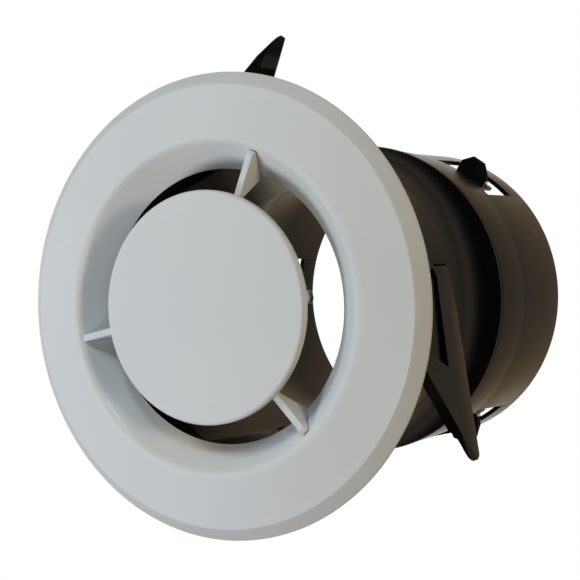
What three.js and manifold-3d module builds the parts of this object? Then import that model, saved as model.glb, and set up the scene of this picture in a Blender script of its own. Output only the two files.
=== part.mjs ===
// Round ceiling air diffuser for a 150 mm duct, in millimetres.
// +Z points up into the ceiling. z = 0 is the room side of the ceiling board, where the back of the
// face ring rests, and the duct axis is the Z axis. Angles are measured from +X towards +Y.
import * as THREE from 'three';
import { mergeVertices } from 'three/addons/utils/BufferGeometryUtils.js';
import Module from 'manifold-3d';

const wasm = await Module();
wasm.setup();

// Driving dimensions
const FLANGE_R = 105; // face ring, outer edge
const BEVEL_R = 99.3; // where the sloping outer edge meets the domed face
const LIP_R = 75.2; // crest of the rounded inner lip
const LIP_Z = -11.2;
const THROAT_R = 61.6; // narrow end of the funnel
const THROAT_Z = 0.8;
const SHELL = 2.2; // wall of the face ring
const DISC_R = 52;
const DISC_FRONT_Z = -17.4;
const DISC_BACK_Z = -13.5;
const FIN_ANGLE = 48.2; // first fin; the others follow every 120 degrees
const FIN_THICK = 3.4;
const HUB_R = 9.5;
const HUB_END_Z = 28;
const SPINDLE_R = 4.5;
const SPINDLE_END_Z = 62;
const NUT_Z = 46.8;
const BARREL_R = 68; // outside of the neck
const FRONT_BARREL_R = 65.8; // its narrower front half
const NECK_WALL = 2;
const FLARE_START_Z = 103;
const RIM_R = 77.4;
const RIM_Z = 128.2;
const SPIGOT_R = 72; // sleeve inside the duct collar
const COLLAR_FRONT_Z = 130.8;
const RIDGE_Z = 159;
const COLLAR_R = 75.2;
const COLLAR_END_Z = 203.6;
const COLLAR_WALL = 2.2;
const HOOK_ANGLE = -57.5;
const HOOK_Z = 173; // front face of each snap hook
const WINDOW = { front: 163, back: 190, halfAngle: 13.2, angle: -57 };
const PIVOT_R = 68.5; // wing pivots
const PIVOT_ANGLE = -14;
const WING_ANGLE = 66.4; // direction of the opened wing
const WING_FOLD = 30; // how far it folds in
const WING_THICK = 5.2;
const PIN_R = 1.25;
const KNUCKLE_R = 3;
const SPRING_WIRE_R = 0.4;
const SCREW_R = 80; // circle of the ring screws
const GAP = 0.3; // between pieces that touch
const SEGMENTS = 48; // around the large turned pieces

const RAD = Math.PI / 180;
const THIRDS = [0, 120, 240];

// ---- solids -----------------------------------------------------------------------------------

// A closed three.js geometry as a manifold solid, with its faces turned outwards.
function toSolid(geometry) {
  const bare = new THREE.BufferGeometry();
  bare.setAttribute('position', geometry.getAttribute('position').clone());
  bare.setIndex(geometry.index ? geometry.index.clone() : null);
  const merged = mergeVertices(bare, 1e-3);
  const source = merged.index.array;
  const triangles = [];
  for (let i = 0; i < source.length; i += 3) {
    const [a, b, c] = [source[i], source[i + 1], source[i + 2]];
    if (a !== b && b !== c && c !== a) triangles.push(a, b, c);
  }
  const points = merged.getAttribute('position');
  if (signedVolume(points, triangles) < 0) triangles.reverse();
  return new wasm.Manifold(new wasm.Mesh({
    numProp: 3,
    vertProperties: Float32Array.from(points.array),
    triVerts: Uint32Array.from(triangles),
  }));
}

function signedVolume(points, triangles) {
  const [a, b, c] = [new THREE.Vector3(), new THREE.Vector3(), new THREE.Vector3()];
  let volume = 0;
  for (let i = 0; i < triangles.length; i += 3) {
    a.fromBufferAttribute(points, triangles[i]);
    b.fromBufferAttribute(points, triangles[i + 1]);
    c.fromBufferAttribute(points, triangles[i + 2]);
    volume += a.dot(b.cross(c)) / 6;
  }
  return volume;
}

function toGeometry(solid) {
  const mesh = solid.getMesh();
  const geometry = new THREE.BufferGeometry();
  geometry.setAttribute('position', new THREE.BufferAttribute(Float32Array.from(mesh.vertProperties), 3));
  geometry.setIndex(Array.from(mesh.triVerts));
  geometry.computeVertexNormals();
  return geometry;
}

// Turned solid about Z from a closed outline of [radius, z] points.
function turned(outline, segments = SEGMENTS) {
  const points = outline.map(([radius, z]) => new THREE.Vector2(Math.max(radius, 0), z));
  if (outline[0][0] > 0) points.push(points[0].clone());
  return toSolid(new THREE.LatheGeometry(points, segments).rotateX(90 * RAD));
}

function rod(radius, z0, z1, segments = 20) {
  return turned([[0, z0], [radius, z0], [radius, z1], [0, z1]], segments);
}

// Flat plate: an outline of [x, y] points, thickness from z0 to z1, then an optional placing matrix.
function plate(outline, z0, z1, place = null) {
  const shape = new THREE.Shape(outline.map(([x, y]) => new THREE.Vector2(x, y)));
  const geometry = new THREE.ExtrudeGeometry(shape, { depth: z1 - z0, bevelEnabled: false });
  geometry.translate(0, 0, z0);
  if (place) geometry.applyMatrix4(place);
  return toSolid(geometry);
}

// Round post or drill of a radius, standing at x, y.
function post(x, y, radius, z0, z1, segments = 16, place = null) {
  const geometry = new THREE.CylinderGeometry(radius, radius, z1 - z0, segments).rotateX(90 * RAD);
  geometry.translate(x, y, (z0 + z1) / 2);
  if (place) geometry.applyMatrix4(place);
  return toSolid(geometry);
}

function box(x0, x1, y0, y1, z0, z1, place = null) {
  return plate([[x0, y0], [x1, y0], [x1, y1], [x0, y1]], z0, z1, place);
}

// Curved bar between two radii, over an angle and a height.
function ringSector(r0, r1, angle, halfAngle, z0, z1, steps = 6) {
  const outline = [];
  for (let i = 0; i <= steps; i++) outline.push(polar(r1, angle - halfAngle + (2 * halfAngle * i) / steps));
  for (let i = steps; i >= 0; i--) outline.push(polar(r0, angle - halfAngle + (2 * halfAngle * i) / steps));
  return plate(outline, z0, z1);
}

function polar(radius, angle) {
  return [radius * Math.cos(angle * RAD), radius * Math.sin(angle * RAD)];
}

function bend(from, control, to, steps) {
  const curve = new THREE.QuadraticBezierCurve(
    new THREE.Vector2(...from), new THREE.Vector2(...control), new THREE.Vector2(...to));
  return curve.getPoints(steps).map((point) => [point.x, point.y]);
}

function spinZ(angle) {
  return new THREE.Matrix4().makeRotationZ(angle * RAD);
}

function shift(x, y, z) {
  return new THREE.Matrix4().makeTranslation(x, y, z);
}

// Stands an outline of [radius, z] points up in the plane through the axis at an angle.
function upright(angle) {
  return spinZ(angle).multiply(new THREE.Matrix4().makeRotationX(90 * RAD));
}

// ---- the assembly -----------------------------------------------------------------------------

const diffuser = new THREE.Group();

const whitePlastic = { color: 0xdfe2e0, roughness: 0.32, metalness: 0 };
const blackPlastic = { color: 0x15171a, roughness: 0.38, metalness: 0 };
const steel = { color: 0xb9bcc0, roughness: 0.3, metalness: 1 };
const zincSteel = { color: 0xc9c6ba, roughness: 0.35, metalness: 1 };

function add(name, solid, finish) {
  const mesh = new THREE.Mesh(toGeometry(solid), new THREE.MeshStandardMaterial(finish));
  mesh.name = name;
  diffuser.add(mesh);
}

// ---- face ring --------------------------------------------------------------------------------

const FUNNEL_TOP = [LIP_R - 1.7, LIP_Z + 0.7];

function faceRingBody() {
  const front = [
    [FLANGE_R, 0], [FLANGE_R, -0.9], [FLANGE_R - 0.8, -1.8],
    ...bend([BEVEL_R + 1.2, -5], [BEVEL_R, -6.1], [BEVEL_R - 1.8, -6.4], 3),
    ...bend([90, -8.1], [82, -10.2], [LIP_R + 2.2, -10.8], 3),
    ...bend([LIP_R + 0.8, LIP_Z + 0.05], [LIP_R - 0.8, LIP_Z - 0.05], FUNNEL_TOP, 3),
    ...bend([71.6, -9.1], [66.6, -4.7], [THROAT_R, THROAT_Z], 4),
  ];
  const back = [
    [THROAT_R + 1.7, THROAT_Z], [THROAT_R + 1.7, -0.1],
    ...bend([67.9, -2.6], [71, -5.6], [74.9, -8.7], 2),
    [LIP_R + 2.4, -8.5], [BEVEL_R - 9, -6], [BEVEL_R - 3.3, -4.3], [BEVEL_R - 2.6, 0],
  ];
  return turned([...front, ...back]);
}

let faceRing = faceRingBody();
for (const turn of THIRDS) {
  const [x, y] = polar(SCREW_R, 90 + turn);
  faceRing = faceRing.add(post(x, y, 3.6, -8.5, -0.1)).subtract(post(x, y, 1.8, -6.2, 1.8, 12));
}

// ---- spider: hub and three fins seated in notches of the funnel --------------------------------

// Outline of one fin in [radius, z]; seat is how far it sinks into the funnel wall.
function finOutline(seat, grow) {
  const [dr, dz] = [seat * 0.69, seat * 0.72];
  return [
    [HUB_R - 2, -13.15], [50, -13.15 - grow], [70.7, -11.6 - grow], [71.7 + grow, -10.9],
    [71.9 + grow + dr * 0.4, -9.3], [70.4 + dr, -8 + dz], [THROAT_R + dr, THROAT_Z - 0.1 + dz],
    [THROAT_R - 0.9, THROAT_Z - 0.1 + dz], [50.6, -10.4], [42, -9], [HUB_R - 2, -6],
  ];
}

function fin(angle, seat, grow) {
  const half = FIN_THICK / 2 + grow;
  return plate(finOutline(seat, grow), -half, half, upright(angle));
}

let spider = rod(HUB_R, -12.9, HUB_END_Z, 32);
for (const turn of THIRDS) {
  spider = spider.add(fin(FIN_ANGLE + turn, 1, 0));
  faceRing = faceRing.subtract(fin(FIN_ANGLE + turn, 1 + GAP + 0.05, GAP));
}
spider = spider.subtract(rod(SPINDLE_R + GAP, -20, HUB_END_Z + 1, 24));

const KEYWAY = { angles: [90, 270], floor: 7.3, half: 2.3, start: 0 };
for (const angle of KEYWAY.angles) {
  spider = spider.subtract(
    box(KEYWAY.floor, HUB_R + 1, -KEYWAY.half, KEYWAY.half, KEYWAY.start, HUB_END_Z + 1, spinZ(angle)));
}

add('face_ring', faceRing, whitePlastic);
add('spider', spider, whitePlastic);

// ---- disc, spindle, keyed washer, lock nut -----------------------------------------------------

const disc = turned([
  [0, DISC_FRONT_Z],
  ...bend([DISC_R - 1.6, DISC_FRONT_Z], [DISC_R, DISC_FRONT_Z], [DISC_R, DISC_FRONT_Z + 1.4], 3),
  [DISC_R, DISC_BACK_Z], [DISC_R - 2.2, DISC_BACK_Z], [DISC_R - 2.6, DISC_FRONT_Z + 2], [0, DISC_FRONT_Z + 2],
]);
add('centre_disc', disc, whitePlastic);

const spindle = turned([
  [0, DISC_FRONT_Z + 2 + GAP], [8, DISC_FRONT_Z + 2 + GAP], [8, DISC_BACK_Z],
  [SPINDLE_R, DISC_BACK_Z], [SPINDLE_R, SPINDLE_END_Z - 1], [SPINDLE_R - 1, SPINDLE_END_Z], [0, SPINDLE_END_Z],
], 32);
add('spindle', spindle, whitePlastic);

const WASHER_THICK = 1.8;
const washerBack = NUT_Z - GAP;
let washer = rod(HUB_R, washerBack - WASHER_THICK, washerBack, 32);
for (const angle of KEYWAY.angles) {
  washer = washer.add(
    box(KEYWAY.floor + 0.4, HUB_R - 0.2, -KEYWAY.half + 0.35, KEYWAY.half - 0.35,
      HUB_END_Z - 8, washerBack - 0.5, spinZ(angle)));
}
washer = washer.subtract(rod(SPINDLE_R + GAP, 0, NUT_Z, 24));
add('keyed_washer', washer, whitePlastic);

let nut = turned([[0, NUT_Z], [9.2, NUT_Z], [9.2, NUT_Z + 5.4], [8.2, NUT_Z + 6.4], [0, NUT_Z + 6.4]], 32);
nut = nut.add(box(-17, 17, -3.3, 3.3, NUT_Z + 1, NUT_Z + 5, spinZ(-12.5)));
nut = nut.subtract(rod(SPINDLE_R + GAP, NUT_Z - 1, NUT_Z + 8, 24));
add('lock_nut', nut, whitePlastic);

// ---- wings -------------------------------------------------------------------------------------
// Each wing is drawn flat: x from the pivot to the tip, y along the duct axis, then stood up.

const CLAMP_TEETH = 46;
const CLAMP_FROM = [8, 10.8];
const CLAMP_TO = [85.5, 35.4];
const ROOT_TOP_Z = 88.6; // rear end of the blade, at its root
const SEAT_END_Z = 90.6; // rear end of the flat seat in the neck

function wingOutline() {
  const rear = bend([0.8, ROOT_TOP_Z], [52.8, 70.2], [90.4, 47.3], 8);
  const tip = bend([90.9, 46.6], [94.6, 42], [92.2, 38.4], 4);
  const under = bend([91.9, 38], [90.3, 36.4], [86.2, 35.6], 3);
  const teeth = [];
  for (let i = 0; i <= CLAMP_TEETH * 2; i++) {
    const along = 1 - i / (CLAMP_TEETH * 2);
    const rise = i % 2 === 0 ? 0 : 0.6;
    teeth.push([
      CLAMP_FROM[0] + (CLAMP_TO[0] - CLAMP_FROM[0]) * along,
      CLAMP_FROM[1] + (CLAMP_TO[1] - CLAMP_FROM[1]) * along + rise,
    ]);
  }
  const root = [[7, 36.3], [0, 36.3], [0, 65.6], [7, 65.6], [7, 70.7], [0.8, 70.7]];
  return [...rear, ...tip, ...under, ...teeth, ...root];
}

// Places something drawn in a wing's own frame: x out along the blade, z up, its outer face on the -y side.
function wingPlace(turn, extra = 0) {
  const [x, y] = polar(PIVOT_R, PIVOT_ANGLE + turn);
  return shift(x, y, 0).multiply(spinZ(WING_ANGLE + turn + extra));
}

const standUp = new THREE.Matrix4().makeRotationX(90 * RAD);

function wing(turn) {
  const place = wingPlace(turn);
  const half = WING_THICK / 2;
  const blade = plate(wingOutline(), -half, half, place.clone().multiply(standUp));
  const knuckle = post(0, 0, KNUCKLE_R, 36.3, 65.6, 20, place);
  const bore = post(0, 0, PIN_R + 0.25, 5, 95, 16, place);
  return blade.subtract(rearBevel(place)).subtract(wingPocket(place)).subtract(tipCut(place))
    .subtract(innerBevel(place)).subtract(tipFacet(place)).add(knuckle).subtract(bore);
}

// The outer face slopes away towards the rear edge of the blade.
const BEVEL = { x: 8, z: 79.1, slope: 28.9, tilt: 8.5 };

function rearBevel(place) {
  const slope = shift(BEVEL.x, -WING_THICK / 2, BEVEL.z)
    .multiply(new THREE.Matrix4().makeRotationY(BEVEL.slope * RAD))
    .multiply(new THREE.Matrix4().makeRotationX(-BEVEL.tilt * RAD));
  return box(-40, 110, -12, 0, 0, 20, place.clone().multiply(slope));
}

// Sunk panel in the outer face, running along the bevel.
const POCKET = { x: 7.8, z: 69.8, slope: 28.6, from: -2.3, to: 50, width: 20, depth: 1.85, deepen: 1.2 };

function wingPocket(place) {
  const corner = shift(POCKET.x, -WING_THICK / 2, POCKET.z)
    .multiply(new THREE.Matrix4().makeRotationY(POCKET.slope * RAD)).multiply(spinZ(POCKET.deepen));
  return box(POCKET.from, POCKET.to, -1, POCKET.depth, -POCKET.width, 0, place.clone().multiply(corner));
}

// The inner face slopes towards the same rear edge, more steeply.
const INNER_BEVEL = { x: 8, z: 79.9, slope: 25.4, tilt: 32.5 };

function innerBevel(place) {
  const slope = shift(INNER_BEVEL.x, WING_THICK / 2, INNER_BEVEL.z)
    .multiply(new THREE.Matrix4().makeRotationY(INNER_BEVEL.slope * RAD))
    .multiply(new THREE.Matrix4().makeRotationX(INNER_BEVEL.tilt * RAD));
  return box(-40, 110, 0, 12, 0, 20, place.clone().multiply(slope));
}

// The tip is thinner on its inner side, and a facet leads from its outer face to the clamp edge.
const TIP_CUT = [[76.5, 4], [77, 2.6], [81.5, 0.5], [97, 0.2], [97, 4]];
const TIP_FACET = { x: 79, z: 33.2, slope: -44.5, tilt: 19.9 };

function tipCut(place) {
  return plate(TIP_CUT, 0, 100, place);
}

function tipFacet(place) {
  const slope = shift(TIP_FACET.x, -WING_THICK / 2, TIP_FACET.z)
    .multiply(new THREE.Matrix4().makeRotationY(TIP_FACET.slope * RAD))
    .multiply(new THREE.Matrix4().makeRotationX(TIP_FACET.tilt * RAD));
  return box(-6, 40, -12, 0, -20, 20, place.clone().multiply(slope));
}

// Flat seat in the neck that takes the folded wing; back is how far it is set behind the blade.
function wingSeat(turn, back, grow) {
  const place = wingPlace(turn, WING_FOLD);
  const floor = WING_THICK / 2 + back;
  const lower = box(-4.6 - grow, 120, -40, floor, 9.8 - grow, 71.2 + grow, place);
  return lower.add(box(0.3 - grow, 120, -40, floor, 60, SEAT_END_Z + grow, place));
}

// ---- neck --------------------------------------------------------------------------------------

const NECK_FRONT_Z = 0.4;

function neckOuter() {
  return turned([
    [0, NECK_FRONT_Z], [86, NECK_FRONT_Z], [86, NECK_FRONT_Z + 2.4], [FRONT_BARREL_R, NECK_FRONT_Z + 2.4],
    [FRONT_BARREL_R, 60], [BARREL_R, 66],
    ...bend([BARREL_R, FLARE_START_Z], [BARREL_R + 0.5, RIM_Z - 8], [RIM_R - 0.3, RIM_Z - 0.4], 6),
    [RIM_R, RIM_Z + 0.5], [RIM_R - 0.3, RIM_Z + 1.8], [SPIGOT_R, RIM_Z + 2], [SPIGOT_R, 157], [0, 157],
  ]);
}

function neckInner() {
  const front = FRONT_BARREL_R - NECK_WALL + 0.1;
  const rear = BARREL_R - NECK_WALL;
  return turned([
    [0, -1], [front, -1], [front, 60.6], [rear, 66.6],
    ...bend([rear, FLARE_START_Z], [rear + 0.6, 117], [SPIGOT_R - NECK_WALL, RIM_Z - 2], 4),
    [SPIGOT_R - NECK_WALL, 158], [0, 158],
  ]);
}

// Snap hook: a springy finger with an eight-sided head that fills part of a collar window.
function snapHook(angle) {
  const finger = ringSector(SPIGOT_R - 1.9, SPIGOT_R, angle, 6.2, 156, 188.5, 4);
  const length = 15;
  const head = new THREE.CylinderGeometry(4.6, 9.5, length, 8);
  head.rotateY(22.5 * RAD);
  head.rotateX(90 * RAD);
  const points = head.getAttribute('position');
  for (let i = 0; i < points.count; i++) {
    const along = points.getZ(i) / length + 0.5;
    points.setX(i, points.getX(i) + 75 - 3.4 * along);
  }
  head.translate(0, 0, HOOK_Z + length / 2);
  head.rotateZ(angle * RAD);
  return finger.add(toSolid(head));
}

// Ear that carries one end of a pivot pin.
function pinEar(turn, z0, z1) {
  const outline = [];
  for (let i = 0; i <= 8; i++) {
    const [x, y] = polar(3.3, -90 + (180 * i) / 8);
    outline.push([PIVOT_R + x, y]);
  }
  outline.push([64.4, 3.3], [64.4, -3.3]);
  return plate(outline, z0, z1, spinZ(PIVOT_ANGLE + turn));
}

let neck = neckOuter();
let duct = neckInner();
for (const turn of THIRDS) {
  neck = neck.subtract(wingSeat(turn, 0.6, 0));
  duct = duct.subtract(wingSeat(turn, 0.6 + NECK_WALL, NECK_WALL));
}
neck = neck.subtract(duct);
for (const turn of THIRDS) {
  neck = neck.add(pinEar(turn, 21.5, 25.6)).add(pinEar(turn, 66, 70.3)).add(snapHook(HOOK_ANGLE + turn));
}
for (const turn of THIRDS) {
  const [pinX, pinY] = polar(PIVOT_R, PIVOT_ANGLE + turn);
  const [screwX, screwY] = polar(SCREW_R, 90 + turn);
  neck = neck.subtract(post(pinX, pinY, PIN_R + GAP, 16, 76));
  neck = neck.subtract(post(screwX, screwY, 1.9, -1.5, 4.5, 12));
}
add('neck', neck, blackPlastic);

// ---- wings, pins, springs and screws, three of each ---------------------------------------------

function pivotPin(turn) {
  const [x, y] = polar(PIVOT_R, PIVOT_ANGLE + turn);
  const outline = [
    [0, 19.9], [2.3, 19.9], [2.3, 21.2], [PIN_R, 21.2], [PIN_R, 70.6], [PIN_R - 0.4, 71], [0, 71],
  ].map(([radius, z]) => new THREE.Vector2(radius, z));
  return toSolid(new THREE.LatheGeometry(outline, 16).rotateX(90 * RAD).translate(x, y, 0));
}

// Helical path of the torsion spring around a pin, with a short tangential leg at each end.
class SpringPath extends THREE.Curve {
  constructor(radius, bottom, pitch, turns, leg) {
    super();
    Object.assign(this, { radius, bottom, pitch, turns, leg });
  }

  getPoint(t, target = new THREE.Vector3()) {
    const coil = 2 * Math.PI * this.turns * this.radius;
    const s = t * (coil + 2 * this.leg) - this.leg;
    const angle = Math.min(Math.max(s, 0), coil) / this.radius;
    const over = s < 0 ? s : Math.max(s - coil, 0);
    const rise = this.bottom + (this.pitch * angle) / (2 * Math.PI);
    return target.set(
      this.radius * Math.cos(angle) - over * Math.sin(angle),
      this.radius * Math.sin(angle) + over * Math.cos(angle),
      rise);
  }
}

function wingSpring(turn) {
  const path = new SpringPath(2.2, 26.9, 1.9, 4.25, 1.2);
  const wire = new THREE.Shape().absarc(0, 0, SPRING_WIRE_R, 0, 2 * Math.PI);
  const coil = new THREE.ExtrudeGeometry(wire, { steps: 44, curveSegments: 3, extrudePath: path });
  return toSolid(coil.applyMatrix4(wingPlace(turn, 150)));
}

function ringScrew(turn) {
  const [x, y] = polar(SCREW_R, 90 + turn);
  const outline = [[0, -5.6], [1, -5.6], [1.5, -4.8], [1.5, 3.1], [3.3, 3.1], [3.1, 4.6], [2, 5.2], [0, 5.2]]
    .map(([radius, z]) => new THREE.Vector2(radius, z));
  const screw = toSolid(new THREE.LatheGeometry(outline, 12).rotateX(90 * RAD).translate(x, y, 0));
  const slot = (angle) => box(-2.1, 2.1, -0.4, 0.4, 4.1, 6, shift(x, y, 0).multiply(spinZ(angle)));
  return screw.subtract(slot(0)).subtract(slot(90));
}

THIRDS.forEach((turn, index) => {
  const letter = 'abc'[index];
  add(`wing_${letter}`, wing(turn), blackPlastic);
  add(`pivot_pin_${letter}`, pivotPin(turn), steel);
  add(`wing_spring_${letter}`, wingSpring(turn), steel);
  add(`ring_screw_${letter}`, ringScrew(turn), zincSteel);
});

// ---- duct collar --------------------------------------------------------------------------------

let collar = turned([
  [RIM_R - 0.9, COLLAR_FRONT_Z], [RIM_R - 0.4, COLLAR_FRONT_Z + 0.6], [COLLAR_R + 0.35, RIDGE_Z - 1.5],
  [COLLAR_R, RIDGE_Z + 1], [COLLAR_R - 0.1, COLLAR_END_Z - 0.7], [COLLAR_R - 0.6, COLLAR_END_Z],
  [COLLAR_R - COLLAR_WALL + 0.3, COLLAR_END_Z], [COLLAR_R - COLLAR_WALL - 0.1, COLLAR_END_Z - 0.6],
  [COLLAR_R - COLLAR_WALL, RIDGE_Z], [RIM_R - 3, COLLAR_FRONT_Z],
]);
for (const turn of THIRDS) {
  collar = collar.subtract(
    ringSector(68, 84, WINDOW.angle + turn, WINDOW.halfAngle, WINDOW.front, WINDOW.back, 6));
}
add('duct_collar', collar, blackPlastic);

export default diffuser;
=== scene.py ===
import bpy
import bmesh
import math
from mathutils import Matrix, Vector


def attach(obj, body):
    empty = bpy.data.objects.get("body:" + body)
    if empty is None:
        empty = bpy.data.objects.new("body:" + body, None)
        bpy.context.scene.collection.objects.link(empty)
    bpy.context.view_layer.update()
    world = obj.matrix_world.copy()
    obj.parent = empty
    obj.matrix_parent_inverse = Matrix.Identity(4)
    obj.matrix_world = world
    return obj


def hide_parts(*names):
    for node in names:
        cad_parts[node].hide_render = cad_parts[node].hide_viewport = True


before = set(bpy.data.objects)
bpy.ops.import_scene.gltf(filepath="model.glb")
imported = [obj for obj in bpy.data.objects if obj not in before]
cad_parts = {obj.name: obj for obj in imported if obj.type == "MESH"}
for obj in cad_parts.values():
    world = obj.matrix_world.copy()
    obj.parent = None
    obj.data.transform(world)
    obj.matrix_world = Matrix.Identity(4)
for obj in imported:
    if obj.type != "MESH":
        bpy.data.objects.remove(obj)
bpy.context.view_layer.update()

# Everything is drawn in millimetres and scaled to metres when a piece is finished.
metre = 0.001
thirds = (0, 120, 240)  # wings, fins, hooks and screws all come in threes
letters = "abc"
fineTurns = 256  # steps round the ring and the disc, whose outlines are seen large
keyAngles = (90, 270)  # the hub's two keyways and the washer's two prongs


def polar(radius, degrees):
    return radius * math.cos(math.radians(degrees)), radius * math.sin(math.radians(degrees))


def spin(degrees):
    return Matrix.Rotation(math.radians(degrees), 4, "Z")


def quadratic(start, control, end, steps):
    points = []
    for i in range(steps + 1):
        t = i / steps
        points.append(tuple((1 - t) ** 2 * a + 2 * t * (1 - t) * b + t * t * c
                            for a, b, c in zip(start, control, end)))
    return points


def roundCorners(corners, steps=5):
    # corners are (x, y) or (x, y, fillet radius) of a closed outline
    outline = []
    count = len(corners)
    for i, corner in enumerate(corners):
        point = Vector(corner[:2])
        if len(corner) < 3:
            outline.append(tuple(point))
            continue
        before = Vector(corners[i - 1][:2]) - point
        after = Vector(corners[(i + 1) % count][:2]) - point
        half = before.angle(after) / 2
        cut = min(corner[2] / math.tan(half), 0.47 * before.length, 0.47 * after.length)
        radius = cut * math.tan(half)
        before.normalize()
        after.normalize()
        centre = point + (before + after).normalized() * radius / math.sin(half)
        arm = point + before * cut - centre
        last = point + after * cut - centre
        sweep = arm.angle_signed(last)
        for k in range(steps + 1):
            turned = arm.copy()
            turned.rotate(Matrix.Rotation(-sweep * k / steps, 2))
            outline.append(tuple(centre + turned))
    return outline


def shell(points, faces, place=None):
    # a temporary object in millimetres, with its faces turned outwards
    mesh = bpy.data.meshes.new("shell")
    mesh.from_pydata([tuple(p) for p in points], [], faces)
    build = bmesh.new()
    build.from_mesh(mesh)
    bmesh.ops.remove_doubles(build, verts=build.verts, dist=1e-4)
    bmesh.ops.recalc_face_normals(build, faces=build.faces)
    build.to_mesh(mesh)
    build.free()
    if place:
        mesh.transform(place)
    piece = bpy.data.objects.new("shell", mesh)
    bpy.context.scene.collection.objects.link(piece)
    return piece


def turnedShell(profile, turns=192, change=None, place=None):
    # profile is a closed outline of (radius, z); change may move each point
    points, faces = [], []
    count = len(profile)
    for i in range(turns):
        angle = 2 * math.pi * i / turns
        for radius, z in profile:
            if change:
                radius, z = change(radius, z, angle)
            points.append((radius * math.cos(angle), radius * math.sin(angle), z))
    for i in range(turns):
        nextRow = (i + 1) % turns
        for k in range(count):
            nextPoint = (k + 1) % count
            if profile[k][0] < 1e-6 and profile[nextPoint][0] < 1e-6:
                continue
            faces.append((i * count + k, nextRow * count + k,
                          nextRow * count + nextPoint, i * count + nextPoint))
    return shell(points, faces, place)


def slab(outline, low, high, place=None):
    # straight prism over an outline
    count = len(outline)
    points = [(x, y, low) for x, y in outline] + [(x, y, high) for x, y in outline]
    faces = [tuple(range(count - 1, -1, -1)), tuple(range(count, 2 * count))]
    for k in range(count):
        n = (k + 1) % count
        faces.append((k, n, count + n, count + k))
    return shell(points, faces, place)


def block(low, high, place=None):
    (x0, y0, z0), (x1, y1, z1) = low, high
    return slab([(x0, y0), (x1, y0), (x1, y1), (x0, y1)], z0, z1, place)


def wirePath(path, radius, sides=14):
    # round wire along a list of points, closed at both ends
    points, faces = [], []
    normal = None
    for i, here in enumerate(path):
        ahead = (path[min(i + 1, len(path) - 1)] - path[max(i - 1, 0)]).normalized()
        if normal is None:
            normal = ahead.orthogonal().normalized()
        normal = (normal - ahead * normal.dot(ahead)).normalized()
        side = ahead.cross(normal)
        for k in range(sides):
            a = 2 * math.pi * k / sides
            points.append(here + normal * radius * math.cos(a) + side * radius * math.sin(a))
    for i in range(len(path) - 1):
        for k in range(sides):
            n = (k + 1) % sides
            faces.append((i * sides + k, i * sides + n, (i + 1) * sides + n, (i + 1) * sides + k))
    faces.append(tuple(range(sides - 1, -1, -1)))
    faces.append(tuple(range((len(path) - 1) * sides, len(path) * sides)))
    return shell(points, faces)


def settle(piece):
    # bakes the modifiers into the mesh
    graph = bpy.context.evaluated_depsgraph_get()
    mesh = bpy.data.meshes.new_from_object(piece.evaluated_get(graph))
    piece.modifiers.clear()
    piece.data = mesh
    return piece


def merge(pieces):
    # several shells in one object
    build = bmesh.new()
    for piece in pieces:
        build.from_mesh(piece.data)
    mesh = bpy.data.meshes.new("merged")
    build.to_mesh(mesh)
    build.free()
    for piece in pieces[1:]:
        bpy.data.objects.remove(piece)
    pieces[0].data = mesh
    return pieces[0]


def carve(piece, tools, operation="DIFFERENCE"):
    for tool in tools:
        step = piece.modifiers.new("carve", "BOOLEAN")
        step.operation = operation
        step.solver = "EXACT"
        step.object = tool
    settle(piece)
    for tool in tools:
        bpy.data.objects.remove(tool)
    return piece


def soften(piece, width, steps=2, degrees=32):
    # breaks the sharp edges, as a mould does
    step = piece.modifiers.new("soften", "BEVEL")
    step.width = width
    step.segments = steps
    step.limit_method = "ANGLE"
    step.angle_limit = math.radians(degrees)
    step.harden_normals = False
    return settle(piece)


def copyShell(piece, place):
    twin = bpy.data.objects.new("shell", piece.data.copy())
    twin.data.transform(place)
    bpy.context.scene.collection.objects.link(twin)
    return twin


def finishPiece(piece, name, body, material, nodes, degrees=30, flats=False):
    # scales to metres, shades, and hands the piece to its CAD body
    mesh = piece.data
    mesh.transform(Matrix.Scale(metre, 4))
    mesh.materials.clear()
    mesh.materials.append(material)
    mesh.polygons.foreach_set("use_smooth", [True] * len(mesh.polygons))
    mesh.set_sharp_from_angle(angle=math.radians(degrees))
    mesh.update()
    if flats:
        # keeps large flat faces flat beside their rounded edges
        even = piece.modifiers.new("even", "WEIGHTED_NORMAL")
        even.keep_sharp = True
        settle(piece)
    piece.name = name
    piece.data.name = name
    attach(piece, body)
    if nodes:
        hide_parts(*nodes)
    return piece


def linear(hexColour):
    # sRGB hex to linear red, green, blue, alpha
    values = [int(hexColour[i:i + 2], 16) / 255 for i in (1, 3, 5)]
    return (*[v / 12.92 if v <= 0.04045 else ((v + 0.055) / 1.055) ** 2.4 for v in values], 1)


def addNode(material, kind, settings=None, links=None):
    # one node with its socket values or properties, and links from other nodes' sockets
    node = material.node_tree.nodes.new(kind)
    for key, value in (settings or {}).items():
        if key in node.inputs:
            node.inputs[key].default_value = value
        else:
            setattr(node, key, value)
    for key, source in (links or {}).items():
        material.node_tree.links.new(source, node.inputs[key])
    return node


def newMaterial(name):
    material = bpy.data.materials.new(name)
    material.use_nodes = True
    material.node_tree.nodes.clear()
    return material


patchSpan = {"From Min": 0.3, "From Max": 0.7}  # the part of its range that soft noise really fills


def patchyFinish(material, look, patches):
    # colour and roughness that drift together, between two values each, in soft patches
    drift = addNode(material, "ShaderNodeMapRange", patchSpan, {"Value": patches}).outputs["Result"]
    gloss = addNode(material, "ShaderNodeMapRange",
                    {"To Min": look["roughLow"], "To Max": look["roughHigh"]}, {"Value": drift})
    tint = addNode(material, "ShaderNodeMix", {"data_type": "RGBA"}, {"Factor": drift})
    tint.inputs[6].default_value = linear(look["colour"])
    tint.inputs[7].default_value = linear(look["patchColour"])
    return tint.outputs[2], gloss.outputs["Result"]


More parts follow.
